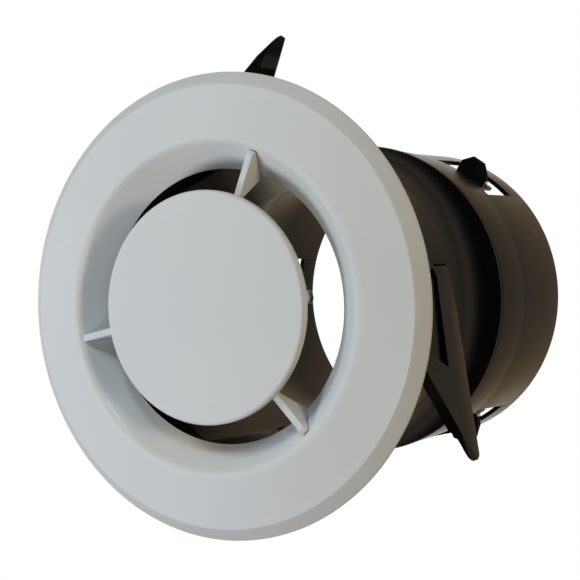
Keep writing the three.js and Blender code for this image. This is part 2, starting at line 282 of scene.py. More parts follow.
def mouldedPlastic(name, look):
    # injection-moulded plastic: an even colour that drifts a little with the flow of the melt,
    # a satin gloss that is not the same everywhere, and the fine grain of the mould steel
    material = newMaterial(name)
    place = addNode(material, "ShaderNodeTexCoord").outputs["Object"]
    flow = addNode(material, "ShaderNodeTexNoise",
                   {"Scale": 1 / (look["flow"] * metre), "Detail": 3.0, "Roughness": 0.55},
                   {"Vector": place}).outputs["Fac"]
    grain = addNode(material, "ShaderNodeTexNoise",
                    {"Scale": 1 / (look["grain"] * metre), "Detail": 2.0, "Roughness": 0.6},
                    {"Vector": place}).outputs["Fac"]
    wave = addNode(material, "ShaderNodeTexNoise",
                   {"Scale": 1 / (look["wave"] * metre), "Detail": 1.0},
                   {"Vector": place}).outputs["Fac"]
    tint, gloss = patchyFinish(material, look, flow)
    skin = addNode(material, "ShaderNodeBump",
                   {"Strength": look["grainStrength"], "Distance": look["grainDepth"] * metre},
                   {"Height": grain})
    sink = addNode(material, "ShaderNodeBump",
                   {"Strength": look["waveStrength"], "Distance": look["waveDepth"] * metre},
                   {"Height": wave, "Normal": skin.outputs["Normal"]})
    surface = addNode(material, "ShaderNodeBsdfPrincipled",
                      {"IOR": look["ior"], "Specular IOR Level": look["specular"]},
                      {"Base Color": tint, "Roughness": gloss, "Normal": sink.outputs["Normal"]})
    addNode(material, "ShaderNodeOutputMaterial", {}, {"Surface": surface.outputs["BSDF"]})
    return material


def drawnSteel(name, look):
    # metal with fine lines along one direction and a little uneven sheen
    material = newMaterial(name)
    place = addNode(material, "ShaderNodeTexCoord").outputs["Object"]
    across = 1 / look["line"] / metre
    stretched = addNode(material, "ShaderNodeMapping", {"Scale": (across, across, look["alongLines"])},
                        {"Vector": place}).outputs["Vector"]
    lines = addNode(material, "ShaderNodeTexNoise", {"Scale": 1.0, "Detail": 2.0},
                    {"Vector": stretched}).outputs["Fac"]
    bloom = addNode(material, "ShaderNodeTexNoise",
                    {"Scale": 1 / (look["bloom"] * metre), "Detail": 2.0},
                    {"Vector": place}).outputs["Fac"]
    tint, gloss = patchyFinish(material, look, bloom)
    skin = addNode(material, "ShaderNodeBump",
                   {"Strength": look["lineStrength"], "Distance": look["lineDepth"] * metre},
                   {"Height": lines})
    surface = addNode(material, "ShaderNodeBsdfPrincipled", {"Metallic": 1.0},
                      {"Base Color": tint, "Roughness": gloss, "Normal": skin.outputs["Normal"]})
    addNode(material, "ShaderNodeOutputMaterial", {}, {"Surface": surface.outputs["BSDF"]})
    return material


# Sizes in a look are in millimetres: flow and bloom are the width of the soft patches, grain that of
# the mould's grain, wave that of shallow sink marks, and line the spacing of drawing lines.

# White ABS, moulded in a polished tool: clean, slightly cool white with a soft satin highlight.
whiteAbs = mouldedPlastic("whiteMouldedAbs", {
    "colour": "#DADCDB", "patchColour": "#D6D8D8", "flow": 60, "grain": 0.5, "wave": 14,
    "grainStrength": 0.06, "grainDepth": 0.04, "waveStrength": 0.04, "waveDepth": 0.12,
    "ior": 1.52, "specular": 0.5, "roughLow": 0.26, "roughHigh": 0.34})

# Black polypropylene, moulded: near-black body, and all its brightness comes from a satin sheen.
blackPp = mouldedPlastic("blackMouldedPolypropylene", {
    "colour": "#0A0A0B", "patchColour": "#0D0C0C", "flow": 35, "grain": 0.45, "wave": 9,
    "grainStrength": 0.12, "grainDepth": 0.05, "waveStrength": 0.15, "waveDepth": 0.1,
    "ior": 1.49, "specular": 0.5, "roughLow": 0.22, "roughHigh": 0.3})

# Drawn spring steel: bright grey with hair lines along the wire.
springSteel = drawnSteel("drawnSpringSteel", {
    "colour": "#B4B5B8", "patchColour": "#9EA0A4", "line": 0.08, "alongLines": 60.0, "bloom": 3,
    "lineStrength": 0.25, "lineDepth": 0.02, "roughLow": 0.22, "roughHigh": 0.34})

# Zinc-plated steel: a little yellow bloom over a soft metal sheen.
zincSteel = drawnSteel("zincPlatedSteel", {
    "colour": "#BDB9A8", "patchColour": "#A9A79C", "line": 0.2, "alongLines": 60.0, "bloom": 1.5,
    "lineStrength": 0.25, "lineDepth": 0.02, "roughLow": 0.3, "roughHigh": 0.45})

print("materials made")


# A fin is drawn as radius and z. Its outer end is sunk into the funnel by its seat, in a notch of the
# ring that is cut a little deeper and wider.
finLook = {"angle": 48.2, "thick": 3.3, "root": 7.5, "front": -13.15, "bend": 50, "lip": 70.2,
           "lipZ": -11.75, "end": 71.9, "throat": 61.6, "throatZ": 0.7, "seat": 1.0, "edge": 0.45,
           "notchSeat": 1.35, "notchGap": 0.22}


def finOutline(seat, grow):
    f = finLook
    out, rise = seat * 0.69, seat * 0.72  # the funnel's slope there
    front, end, throatZ = f["front"] - grow, f["end"] + grow, f["throatZ"] + rise
    return [(f["root"], front), (f["bend"], front), (f["lip"], f["lipZ"] - grow, 0.8), (end, -10.9, 0.8),
            (end + out * 0.4, -9.3), (70.4 + out, -8 + rise), (f["throat"] + out, throatZ, 0.5),
            (f["throat"] - 0.9, throatZ, 1.2), (50.6, -10.4, 1.5), (42, -9, 4), (9, -6, 1)]


def finSlab(turn, seat, grow):
    half = finLook["thick"] / 2 + grow
    stand = spin(finLook["angle"] + turn) @ Matrix.Rotation(math.pi / 2, 4, "X")
    return slab(roundCorners(finOutline(seat, grow), 4), -half, half, stand)


ringLook = {"flange": 105, "rimZ": -1.1, "bevel": 99.3, "bevelZ": -6.05, "lip": 75.2, "lipZ": -11.35,
            "throat": 61.6, "throatZ": 0.8, "screwCircle": 80, "screwAngle": 90, "bossRadius": 3.6,
            "bossFront": -8.6, "bossBack": -0.1, "pilotRadius": 1.8, "pilotFront": -6.2}


def ringProfile():
    # flange, bevel, dished face, rounded lip, funnel down to the throat, then the hollow back
    r = ringLook
    bevel, lip, throat, throatZ = r["bevel"], r["lip"], r["throat"], r["throatZ"]
    front = [(r["flange"], 0, 0.3), (r["flange"], r["rimZ"], 0.5), (bevel + 0.15, r["bevelZ"], 1.7)]
    front += quadratic((bevel - 3.4, -6.75), (88, -8.7), (lip + 4.2, -10.55), 14)
    front += quadratic((lip + 3.2, -10.75), (lip + 0.8, r["lipZ"]), (lip - 0.6, -11.05), 6)
    front += quadratic((lip - 1.2, -10.8), (lip - 2.0, -10.35), (lip - 2.9, -9.65), 5)
    front += quadratic((lip - 3.4, -9.2), (66.6, -4.7), (throat + 0.25, throatZ - 0.3), 16)
    back = [(throat + 0.4, throatZ, 0.15), (throat + 1.7, throatZ, 0.2)]
    back += quadratic((throat + 2.1, -0.4), (69.4, -5.2), (lip - 0.4, -8.55), 10)
    back += [(lip + 2.4, -8.5, 0.8), (bevel - 9, -6), (bevel - 3.3, -4.3, 0.8), (bevel - 2.6, 0, 0.3)]
    return roundCorners(front + back)


def screwPlace(turn):
    x, y = polar(ringLook["screwCircle"], ringLook["screwAngle"] + turn)
    return Matrix.Translation((x, y, 0))


ring = turnedShell(ringProfile(), fineTurns)
bosses = []
for turn in thirds:
    r = ringLook
    radius, pilot, chamfer = r["bossRadius"], r["pilotRadius"], 0.4
    bosses.append(turnedShell([
        (0, r["bossFront"]), (radius, r["bossFront"]), (radius, r["bossBack"] - chamfer),
        (radius - chamfer, r["bossBack"]), (pilot, r["bossBack"]), (pilot, r["pilotFront"]),
        (0, r["pilotFront"])], 40, None, screwPlace(turn)))
carve(ring, bosses, "UNION")
carve(ring, [finSlab(turn, finLook["notchSeat"], finLook["notchGap"]) for turn in thirds])
finishPiece(ring, "faceRing", "root", whiteAbs, ["face_ring"])
print("face ring made")


spiderLook = {"hub": 9.5, "front": -12.9, "end": 28, "bore": 4.8, "keyFloor": 7.3, "keyHalf": 2.3}


def hubShell():
    h = spiderLook
    profile = roundCorners([(h["bore"], h["front"], 0.3), (h["hub"], h["front"], 0.4),
                            (h["hub"], h["end"], 0.6), (h["bore"], h["end"], 0.4)], 3)
    hub = turnedShell(profile, 96)
    keyways = [block((h["keyFloor"], -h["keyHalf"], 0), (h["hub"] + 2, h["keyHalf"], h["end"] + 2),
                     spin(angle)) for angle in keyAngles]
    return carve(hub, keyways)


fins = [soften(finSlab(turn, finLook["seat"], 0), finLook["edge"], 3) for turn in thirds]
spider = carve(hubShell(), fins, "UNION")
finishPiece(spider, "finSpider", "root", whiteAbs, ["spider"], flats=True)
print("spider made")


discLook = {"radius": 52, "front": -17.4, "back": -13.5, "edge": 1.5, "wall": 2.0, "skirt": 2.4}


def discProfile():
    d = discLook
    return roundCorners([(0, d["front"]), (d["radius"], d["front"], d["edge"]),
                         (d["radius"], d["back"], 0.4), (d["radius"] - d["skirt"], d["back"], 0.3),
                         (d["radius"] - d["skirt"] - 0.3, d["front"] + d["wall"], 0.6),
                         (0, d["front"] + d["wall"])], 7)


disc = turnedShell(discProfile(), fineTurns)
finishPiece(disc, "centreDisc", "disc", whiteAbs, ["centre_disc"])

# A coarse two-start thread: half its root and one flank are given as shares of a turn of thread.
threadLook = {"radius": 4.5, "depth": 0.75, "lead": 4.0, "starts": 2, "rootHalf": 0.14, "flank": 0.16,
              "foot": -13.5, "footRadius": 8, "footGap": 0.15, "end": 62, "runIn": 2, "runOut": 1.2,
              "rows": 380}


def threadedRadius(radius, z, angle):
    t = threadLook
    if radius < t["radius"] - 0.01 or not t["foot"] + t["runIn"] < z < t["end"] - t["runOut"]:
        return radius, z
    phase = (z / t["lead"] - angle / (2 * math.pi)) * t["starts"] % 1
    crest = min(1.0, max(0.0, (abs(phase - 0.5) - t["rootHalf"]) / t["flank"]))
    return radius - t["depth"] * (1 - crest), z


def spindleProfile():
    t = threadLook
    base = discLook["front"] + discLook["wall"] + t["footGap"]
    foot, footRadius, chamfer, rows = t["foot"], t["footRadius"], 1, t["rows"]
    stem = [(t["radius"], foot + (t["end"] - chamfer - foot) * i / rows) for i in range(rows + 1)]
    return [(0, base), (footRadius - 0.2, base), (footRadius, base + 0.2), (footRadius, foot - 0.3),
            (footRadius - 0.3, foot), *stem, (t["radius"] - chamfer, t["end"]), (0, t["end"])]


spindle = turnedShell(spindleProfile(), 96, threadedRadius)
finishPiece(spindle, "threadedSpindle", "disc", whiteAbs, ["spindle"], 40)
print("disc and spindle made")


nutLook = {"z": 46.8, "hub": 9.2, "height": 6.4, "bore": 4.8, "lobe": 17, "lobeHalf": 3.3,
           "lobeFillet": 2.6, "lobeEdge": 0.7, "angle": -12.5}
washerLook = {"radius": 9.5, "thick": 1.8, "nutGap": 0.3, "prongFloor": 7.7, "prongHalf": 1.95,
              "prongTrim": 0.25, "reach": 8}


def washerShell():
    w = washerLook
    bore, back = nutLook["bore"], nutLook["z"] - w["nutGap"]
    front = back - w["thick"]
    plate = turnedShell(roundCorners([(bore, front, 0.2), (w["radius"], front, 0.3),
                                      (w["radius"], back, 0.3), (bore, back, 0.2)], 3), 96)
    prongs = [soften(block((w["prongFloor"], -w["prongHalf"], spiderLook["end"] - w["reach"]),
                           (w["radius"] - w["prongTrim"], w["prongHalf"], back - 0.5), spin(angle)), 0.25)
              for angle in keyAngles]
    return carve(plate, prongs, "UNION")


washer = washerShell()
finishPiece(washer, "keyedWasher", "slider", whiteAbs, ["keyed_washer"])


def nutShell():
    n = nutLook
    bore, low, high = n["bore"], n["z"], n["z"] + n["height"]
    hub = turnedShell(roundCorners([(bore, low, 0.3), (n["hub"], low, 0.4),
                                    (n["hub"] - 0.3, high, 1.2), (bore, high, 0.4)], 4), 96)
    reach, half, fillet = n["lobe"], n["lobeHalf"], n["lobeFillet"]
    outline = roundCorners([(-reach, -half, fillet), (reach, -half, fillet),
                            (reach, half, fillet), (-reach, half, fillet)], 6)
    lobes = slab(outline, low + 1, high - 1.4, spin(n["angle"]))
    wide = bore + 0.6
    hole = turnedShell([(0, low - 1), (wide, low - 1), (wide, high + 1), (0, high + 1)], 48)
    lobes = carve(soften(lobes, n["lobeEdge"], 3), [hole])
    return carve(hub, [lobes], "UNION")


nut = nutShell()
finishPiece(nut, "lockNut", "nut", whiteAbs, ["lock_nut"])
print("washer and nut made")


# A wing is drawn flat: x from its pivot to its tip, z up, and its outer face towards -y.

wingLook = {"pivot": 68.5, "pivotAngle": -14, "angle": 66.4, "fold": 30, "thick": 5.2,
            "teeth": 76, "toothDepth": 0.5, "toothEnd": 0.9, "ledge": 0.35, "knuckle": 3.0, "bore": 1.5,
            "clampFrom": (8, 10.8), "clampTo": (85.5, 35.4), "rootTop": 88.6,
            "knuckleFront": 36.4, "knuckleBack": 65.5, "relief": 7, "reliefTop": 70.7}

# Slanted cuts that thin the blade: a point on its face, the cut's slope along the blade, its tilt
# into the face, and how far it runs along and below that line. Side -1 is the outer face.
bevelLook = {"side": -1, "x": 8, "z": 79.1, "slope": 28.9, "tilt": -8.5, "run": (-40, 110), "low": 0}
innerBevelLook = {"side": 1, "x": 8, "z": 79.9, "slope": 25.4, "tilt": 32.5, "run": (-40, 110), "low": 0}
tipFacetLook = {"side": -1, "x": 79, "z": 33.2, "slope": -44.5, "tilt": 19.9, "run": (-6, 40), "low": -20}
pocketLook = {"x": 7.8, "z": 69.8, "slope": 28.6, "from": -2.3, "to": 50, "width": 20, "depth": 1.25,
              "deepen": 1.2, "corner": 1.6}


def wingPlace(turn, extra=0):
    w = wingLook
    x, y = polar(w["pivot"], w["pivotAngle"] + turn)
    return Matrix.Translation((x, y, 0)) @ spin(w["angle"] + turn + extra)


def alongClamp(t, rise=0.0):
    (x0, z0), (x1, z1) = wingLook["clampFrom"], wingLook["clampTo"]
    slope = math.atan2(z1 - z0, x1 - x0)
    return (x0 + (x1 - x0) * t - math.sin(slope) * rise, z0 + (z1 - z0) * t + math.cos(slope) * rise)


def bladeOutline():
    w = wingLook
    rear = quadratic((0.8, w["rootTop"]), (52.8, 70.2), (90.3, 47.3), 24)
    tip = quadratic((90.8, 46.6), (94.4, 42), (92.0, 38.5), 8)
    under = quadratic((91.8, 38.1), (90.3, 36.5), (86.2, 35.7), 5)
    edge = [alongClamp(1, 0.1), alongClamp(0.93, w["toothDepth"]), alongClamp(0.0, w["toothDepth"])]
    front, back = w["knuckleFront"] - 0.1, w["knuckleBack"] + 0.1
    root = [(w["relief"], front), (0, front), (0, back), (w["relief"], back),
            (w["relief"], w["reliefTop"]), (0.8, w["reliefTop"])]
    return [*rear, *tip, *under, *edge, *root]


def bladeShell():
    w = wingLook
    half = w["thick"] / 2
    standUp = Matrix.Rotation(math.pi / 2, 4, "X")
    blade = slab(bladeOutline(), -half, half, standUp)
    cuts = []
    for look in (bevelLook, innerBevelLook, tipFacetLook):
        slope = (Matrix.Translation((look["x"], look["side"] * half, look["z"]))
                 @ Matrix.Rotation(math.radians(look["slope"]), 4, "Y")
                 @ Matrix.Rotation(math.radians(look["tilt"]), 4, "X"))
        out, (near, far) = 12 * look["side"], look["run"]
        cuts.append(block((near, min(0, out), look["low"]), (far, max(0, out), 20), slope))
    p = pocketLook
    corner = (Matrix.Translation((p["x"], -half, p["z"]))
              @ Matrix.Rotation(math.radians(p["slope"]), 4, "Y"))
    outline = roundCorners([(p["from"], 0, p["corner"]), (p["to"], 0, p["corner"]),
                            (p["to"], p["width"], p["corner"]), (p["from"], p["width"], p["corner"])], 4)
    cuts.append(slab(outline, -1, p["depth"],
                     corner @ spin(p["deepen"]) @ Matrix.Rotation(-math.pi / 2, 4, "X")))
    # the tip's inner face is thinned in a short curve
    thinned = [(76.5, 4), (77, 2.6), *quadratic((78, 2.1), (80.5, 0.6), (84, 0.45), 5), (97, 0.2), (97, 4)]
    cuts.append(slab(thinned, 0, 100))
    carve(blade, cuts)
    front, back = w["knuckleFront"], w["knuckleBack"]
    knuckle = turnedShell(roundCorners([(0, front), (w["knuckle"], front, 0.3),
                                        (w["knuckle"], back, 0.3), (0, back)], 3), 64)
    carve(blade, [knuckle], "UNION")
    bore = turnedShell([(0, 5), (w["bore"], 5), (w["bore"], 95), (0, 95)], 48)
    carve(blade, [bore])
    # the row of teeth comes last, because a cut after it would leave the mesh open
    teeth = []
    for i in range(w["teeth"]):
        start, end = (i + 0.05) / w["teeth"], (i + 0.95) / w["teeth"]
        if end > w["toothEnd"]:
            break
        middle = (start + end) / 2
        tooth = [alongClamp(start, 1.5), alongClamp(middle - 0.002, 0.0),
                 alongClamp(middle + 0.002, 0.0), alongClamp(end, 1.5)]
        teeth.append(slab(tooth, -half + 0.3, half - w["ledge"], standUp))
    return carve(blade, [merge(teeth)], "UNION")


blade = bladeShell()
for letter, turn in zip(letters, thirds):
    wing = copyShell(blade, wingPlace(turn))
    finishPiece(wing, f"clampWing_{letter}", f"wing_{letter}", blackPp,
                [f"wing_{letter}"], 24, True)
bpy.data.objects.remove(blade)
print("wings made")


neckLook = {"flange": 86, "front": 0.4, "plate": 2.4, "footRound": 1.5, "frontBarrel": 65.8, "stepZ": 60,
            "barrel": 68, "wall": 2.0, "flareStart": 103, "rim": 77.4, "rimZ": 128.2, "spigot": 72,
            "end": 157, "row": 0.8, "turns": 360, "screwHole": 1.9}
# Flat seats for the folded wings. Each pair is where an edge of a seat begins and ends to ramp: behind
# and ahead of the pivot along the wing, and along z for its lower and its upper step.
seatLook = {"gap": 0.6, "facing": 0.7, "behind": (-5.0, -4.0), "bottom": (9.4, 10.2), "step": (70.8, 71.6),
            "ahead": (0.1, 0.75), "shelf": (60, 60.6), "top": (90.3, 90.9), "inside": (10.3, 90.2),
            "reach": (7.5, 93), "radius": 70}
earLook = {"radius": 3.3, "foot": 64.6, "bore": 1.55, "edge": 0.3, "spans": ((21.5, 25.6), (66, 70.3))}
hookLook = {"angle": -57.5, "z": 173, "length": 15, "front": 9.5, "rear": 4.6, "radius": 75, "slant": 3.4,
            "fingerHalf": 6.2, "fingerFront": 156, "fingerEnd": 188.4, "fingerThick": 1.85}


def along(start, end, step):
    # points between two profile corners, no more than a step apart
    length = math.dist(start, end)
    count = max(1, math.ceil(length / step))
    return [tuple(a + (b - a) * i / count for a, b in zip(start, end)) for i in range(count)]


def neckProfile():
    n = neckLook
    back, wide, narrow, row = n["front"] + n["plate"], n["barrel"], n["frontBarrel"], n["row"]
    foot, stepZ, flareStart = n["footRound"], n["stepZ"], n["flareStart"]
    rim, rimZ, spigot, end = n["rim"], n["rimZ"], n["spigot"], n["end"]
    outer = [(n["flange"], n["front"]), (n["flange"], back)]
    outer += along((n["flange"] - 0.4, back), (narrow + foot, back), 8)
    outer += quadratic((narrow + foot, back), (narrow, back), (narrow, back + foot), 5)
    outer += along((narrow, back + foot + 0.1), (narrow, stepZ), row)
    # small step up to the wider barrel
    outer += quadratic((narrow, stepZ), (narrow + 0.3, stepZ + 2.4), (narrow + 1.1, stepZ + 3), 5)
    outer += quadratic((narrow + 1.3, stepZ + 3.2), (wide, stepZ + 4), (wide, stepZ + 6), 5)
    outer += along((wide, stepZ + 6.4), (wide, flareStart - 0.2), row)
    # flare, its rounded rim, and the spigot that the collar slides over
    outer += quadratic((wide, flareStart), (wide + 0.5, rimZ - 8), (rim - 0.5, rimZ - 0.7), 30)
    outer += quadratic((rim - 0.25, rimZ - 0.4), (rim + 0.12, rimZ + 0.5), (rim - 0.25, rimZ + 1.6), 8)
    outer += [(rim - 0.7, rimZ + 1.9), (spigot + 0.5, rimZ + 2), (spigot, rimZ + 2.5)]
    outer += [(spigot, end - 0.3), (spigot - 0.3, end)]
    front, rear, tail = narrow - n["wall"] + 0.1, wide - n["wall"], spigot - n["wall"]
    inner = [(tail + 0.3, end), (tail, end - 0.3)]
    inner += quadratic((tail, rimZ - 2), (rear + 0.6, 117), (rear, flareStart), 20)
    inner += along((rear, flareStart - 0.5), (rear, 66.6), row)
    inner += quadratic((rear, 66.6), (rear - 0.2, 64), (rear - 1, 63.4), 4)
    inner += quadratic((rear - 1.2, 63.1), (front, 62), (front, 60.6), 4)
    inner += along((front, 60.2), (front, 0.9), row)
    inner += [(front + 0.3, n["front"])]
    return outer, inner


outerProfile, innerProfile = neckProfile()


def easeStep(value, low, high):
    t = min(1.0, max(0.0, (value - low) / (high - low)))
    return t * t * (3 - 2 * t)


def seatFloor(radius, z, angle, back):
    # how far the barrel wall is pressed in behind a folded wing, back being the depth below its face
    w, s = wingLook, seatLook
    deepest = radius
    for turn in thirds:
        heading = math.radians(w["angle"] + turn + w["fold"])
        px, py = polar(w["pivot"], w["pivotAngle"] + turn)
        outX, outY = math.sin(heading), -math.cos(heading)
        distance = px * outX + py * outY - (w["thick"] / 2 + back)
        facing = math.cos(angle) * outX + math.sin(angle) * outY
        if facing < s["facing"]:
            continue
        flat = distance / facing
        ahead = ((flat * math.cos(angle) - px) * math.cos(heading)
                 + (flat * math.sin(angle) - py) * math.sin(heading))
        lower = easeStep(ahead, *s["behind"]) * easeStep(z, *s["bottom"]) * (1 - easeStep(z, *s["step"]))
        upper = easeStep(ahead, *s["ahead"]) * easeStep(z, *s["shelf"]) * (1 - easeStep(z, *s["top"]))
        amount = max(lower, upper)
        if flat < radius:
            deepest = min(deepest, radius + (flat - radius) * amount)
    return deepest


def neckShell():
    n, s = neckLook, seatLook
    profile = outerProfile + innerProfile
    outerCount, count = len(outerProfile), len(profile)
    (near, far), (innerNear, innerFar) = s["reach"], s["inside"]
    points, faces = [], []
    for i in range(n["turns"]):
        angle = 2 * math.pi * i / n["turns"]
        for k, (radius, z) in enumerate(profile):
            if near < z < far and radius < s["radius"]:
                back = s["gap"] if k < outerCount else s["gap"] + n["wall"]
                height = z if k < outerCount else min(max(z, innerNear), innerFar)
                radius = seatFloor(radius, height, angle, back)
            points.append((radius * math.cos(angle), radius * math.sin(angle), z))
    for i in range(n["turns"]):
        nextRow = (i + 1) % n["turns"]
        for k in range(count):
            m = (k + 1) % count
            faces.append((i * count + k, nextRow * count + k, nextRow * count + m, i * count + m))
    return shell(points, faces)


def pinEar(turn, low, high):
    w, e = wingLook, earLook
    arc = [math.radians(-90 + 180 * i / 20) for i in range(21)]
    outline = [(w["pivot"] + e["radius"] * math.cos(a), e["radius"] * math.sin(a)) for a in arc]
    outline += [(e["foot"], e["radius"]), (e["foot"], -e["radius"])]
    ear = soften(slab(outline, low, high, spin(w["pivotAngle"] + turn)), e["edge"], 2)
    x, y = polar(w["pivot"], w["pivotAngle"] + turn)
    bore = turnedShell([(0, low - 2), (e["bore"], low - 2), (e["bore"], high + 2), (0, high + 2)], 32, None,
                       Matrix.Translation((x, y, 0)))
    return carve(ear, [bore])


def snapHook(turn):
    # a springy finger that carries on the spigot's wall, and its eight-sided wedge of a head
    h = hookLook
    arc = [-h["fingerHalf"] + 2 * h["fingerHalf"] * i / 12 for i in range(13)]
    outside = neckLook["spigot"] - 0.05
    inside = outside - h["fingerThick"]
    outline = [polar(outside, a) for a in arc] + [polar(inside, a) for a in reversed(arc)]
    finger = soften(slab(outline, h["fingerFront"], h["fingerEnd"], spin(h["angle"] + turn)), 0.25, 2, 50)
    points, faces = [], []
    rings = [(0.0, h["front"] - 0.7), (0.25, h["front"] - 0.2), (0.9, h["front"]),
             (h["length"] - 0.8, h["rear"] + 0.2), (h["length"], h["rear"] - 0.5)]
    for rise, radius in rings:
        shift = h["radius"] - h["slant"] * rise / h["length"]
        for k in range(8):
            a = math.radians(22.5 + 45 * k)
            points.append((shift + radius * math.cos(a), radius * math.sin(a), h["z"] + rise))
    for i in range(len(rings) - 1):
        for k in range(8):
            m = (k + 1) % 8
            faces.append((i * 8 + k, i * 8 + m, (i + 1) * 8 + m, (i + 1) * 8 + k))
    faces += [tuple(range(7, -1, -1)), tuple(range(len(points) - 8, len(points)))]
    head = shell(points, faces, spin(h["angle"] + turn))
    return carve(finger, [soften(head, 0.3, 2, 25)], "UNION")


neck = neckShell()
trims, screwHoles = [], []
hole = neckLook["screwHole"]
for turn in thirds:
    trims += [pinEar(turn, low, high) for low, high in earLook["spans"]] + [snapHook(turn)]
    screwHoles.append(turnedShell([(0, -1.5), (hole, -1.5), (hole, 4.5), (0, 4.5)], 32, None,
                                  screwPlace(turn)))
carve(neck, [merge(trims)], "UNION")
carve(neck, [merge(screwHoles)])
finishPiece(neck, "neckBody", "root", blackPp, ["neck"])
print("neck made")


pinLook = {"radius": 1.25, "head": 2.3, "front": 19.9, "shoulder": 21.2, "end": 71}
springLook = {"radius": 2.2, "wire": 0.4, "bottom": 26.9, "pitch": 1.9, "turns": 4.25, "leg": 1.2,
              "legAngle": 150, "steps": 300}
screwLook = {"head": 3.3, "seat": 3.1, "shank": 1.5, "core": 1.2, "point": 0.9, "end": -5.6,
             "threadStart": -4.9, "pitch": 0.65, "threads": 12, "slot": 0.38, "slotFloor": 4.1, "turn": 20}


def pinShell():
    p = pinLook
    radius, head, front, shoulder, end = p["radius"], p["head"], p["front"], p["shoulder"], p["end"]
    return turnedShell(roundCorners([(0, front), (head, front, 0.5), (head, shoulder, 0.2),
                                     (radius, shoulder), (radius, end, 0.4), (0, end)], 4), 48)


def springShell():
    s = springLook
    coil = 2 * math.pi * s["turns"] * s["radius"]
    path = []
    for i in range(s["steps"] + 1):
        run = i / s["steps"] * (coil + 2 * s["leg"]) - s["leg"]
        angle = min(max(run, 0), coil) / s["radius"]
        over = run if run < 0 else max(run - coil, 0)
        path.append(Vector((s["radius"] * math.cos(angle) - over * math.sin(angle),
                            s["radius"] * math.sin(angle) + over * math.cos(angle),
                            s["bottom"] + s["pitch"] * angle / (2 * math.pi))))
    return wirePath(path, s["wire"])


def screwShell():
    # pan head with a cross slot, and thread rings on the shank
    s = screwLook
    outline = [(0, s["end"]), (s["point"], s["end"])]
    for i in range(s["threads"]):
        z = s["threadStart"] + s["pitch"] * i
        outline += [(s["core"], z), (s["shank"], z + 0.32)]
    outline += [(s["shank"], s["seat"]), (s["head"], s["seat"]), (s["head"], s["seat"] + 0.6),
                (3.05, 4.5), (2.3, 5.05), (1.2, 5.2), (0, 5.2)]
    slots = [block((-2.0, -s["slot"], s["slotFloor"]), (2.0, s["slot"], 6), spin(angle)) for angle in (0, 90)]
    return carve(turnedShell(outline, 48), slots)


pin, spring, screw = pinShell(), springShell(), screwShell()
for letter, turn in zip(letters, thirds):
    x, y = polar(wingLook["pivot"], wingLook["pivotAngle"] + turn)
    finishPiece(copyShell(pin, Matrix.Translation((x, y, 0))), f"pivotPin_{letter}", "root", springSteel,
                [f"pivot_pin_{letter}"])
    finishPiece(copyShell(spring, wingPlace(turn, springLook["legAngle"])), f"torsionSpring_{letter}", "root",
                springSteel, [f"wing_spring_{letter}"], 50)
    finishPiece(copyShell(screw, screwPlace(turn) @ spin(screwLook["turn"] + turn)), f"ringScrew_{letter}",
                "root", zincSteel, [f"ring_screw_{letter}"])
for template in (pin, spring, screw):
    bpy.data.objects.remove(template)
print("pins, springs and screws made")


collarLook = {"front": 130.8, "frontRadius": 76.9, "ridge": 159, "radius": 75.2, "end": 203.6,
              "wall": 2.2, "windowAngle": -57, "windowHalf": 13.2, "windowFront": 163, "windowBack": 190,
              "windowFillet": 1.2}


def collarProfile():
    c = collarLook
    front, wide, ridge, r, end = c["front"], c["frontRadius"], c["ridge"], c["radius"], c["end"]
    inside = r - c["wall"]
    return roundCorners([
        (wide - 0.6, front, 0.4), (wide, front + 0.5, 0.5), (r + 0.42, ridge - 0.8, 0.3),
        (r, ridge + 0.3, 0.5), (r, end, 0.7), (inside, end, 0.7), (inside, ridge, 1.0),
        (wide - 2.6, front, 0.4)], 4)


def windowTool(turn):
    # window with rounded corners, cut straight out from the axis over an arc
    c = collarLook
    half, low, high, fillet = c["windowHalf"], c["windowFront"], c["windowBack"], c["windowFillet"]
    corners = roundCorners([(-half, low, fillet), (half, low, fillet),
                            (half, high, fillet), (-half, high, fillet)], 4)
    outline = []
    for k, (a, z) in enumerate(corners):
        b, y = corners[(k + 1) % len(corners)]
        count = max(1, round(abs(b - a) / 2))
        outline += [(a + (b - a) * i / count, z + (y - z) * i / count) for i in range(count)]
    count = len(outline)
    points = []
    for radius in (68, 84):
        for a, z in outline:
            points.append((*polar(radius, a + c["windowAngle"] + turn), z))
    centres = [sum((Vector(p) for p in points[:count]), Vector()) / count,
               sum((Vector(p) for p in points[count:]), Vector()) / count]
    points += [tuple(p) for p in centres]
    faces = []
    for k in range(count):
        m = (k + 1) % count
        faces.append((k, m, count + m, count + k))
        faces.append((m, k, 2 * count))
        faces.append((count + k, count + m, 2 * count + 1))
    return shell(points, faces)


collar = turnedShell(collarProfile(), 240)
carve(collar, [windowTool(turn) for turn in thirds])
finishPiece(collar, "ductCollar", "collar", blackPp, ["duct_collar"])
print("collar made")


# The camera's own axes and its place, in metres.
cameraLook = {"right": (0.85565, 0.01210, 0.51741), "up": (0, -0.99973, 0.02337),
              "back": (0.51755, -0.02000, -0.85542), "place": (0.46068, -0.02391, -0.70369),
              "lens": 116.34, "sensor": 36, "near": 0.01, "far": 50}
aside, aloft, toward = (Vector(cameraLook[key]) for key in ("right", "up", "back"))
scene = bpy.context.scene
cameraData = bpy.data.cameras.new("viewCamera")
cameraData.sensor_width = cameraLook["sensor"]
cameraData.lens = cameraLook["lens"]
cameraData.clip_start = cameraLook["near"]
cameraData.clip_end = cameraLook["far"]
camera = bpy.data.objects.new("viewCamera", cameraData)
turned = Matrix((aside, aloft, toward)).transposed().to_4x4()
camera.matrix_world = Matrix.Translation(cameraLook["place"]) @ turned
scene.collection.objects.link(camera)
scene.camera = camera
scene.view_settings.view_transform = "Standard"  # plain sRGB tones

